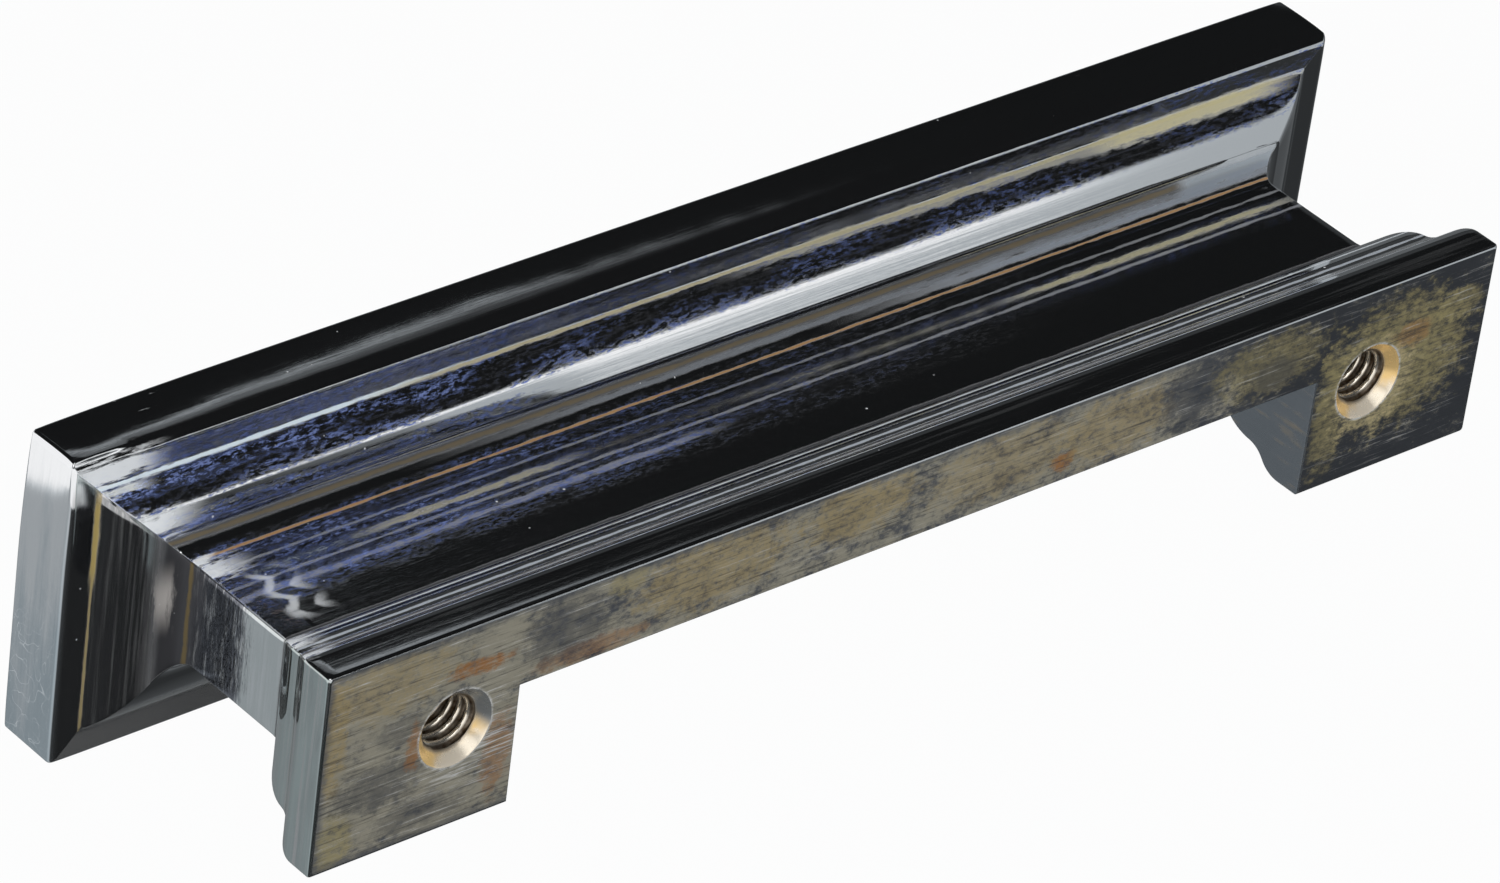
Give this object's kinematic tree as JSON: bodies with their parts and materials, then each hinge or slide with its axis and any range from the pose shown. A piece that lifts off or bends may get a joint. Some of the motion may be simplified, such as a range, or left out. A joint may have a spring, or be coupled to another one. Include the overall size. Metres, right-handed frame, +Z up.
{
  "type": "bin pull",
  "caption": "Rectangular bin pull: a plain front plate on a waisted neck and moulded base, mitred all round, with a finger pocket cut up from below and tapped screw holes in the back.",
  "frame": {"origin": "half way between the two screw holes, on the flat back face", "axes": "+X along the pull, +Y out of the back face into the drawer, +Z up as the pull is used"},
  "size_m": [0.1042, 0.0262, 0.022],
  "materials": {
    "plated_metal": "polished plating over brass, tarnished in the corners, brushed on the back"
  },
  "bodies": {
    "root": {"pull_body": "plated_metal"}
  },
  "joints": []
}
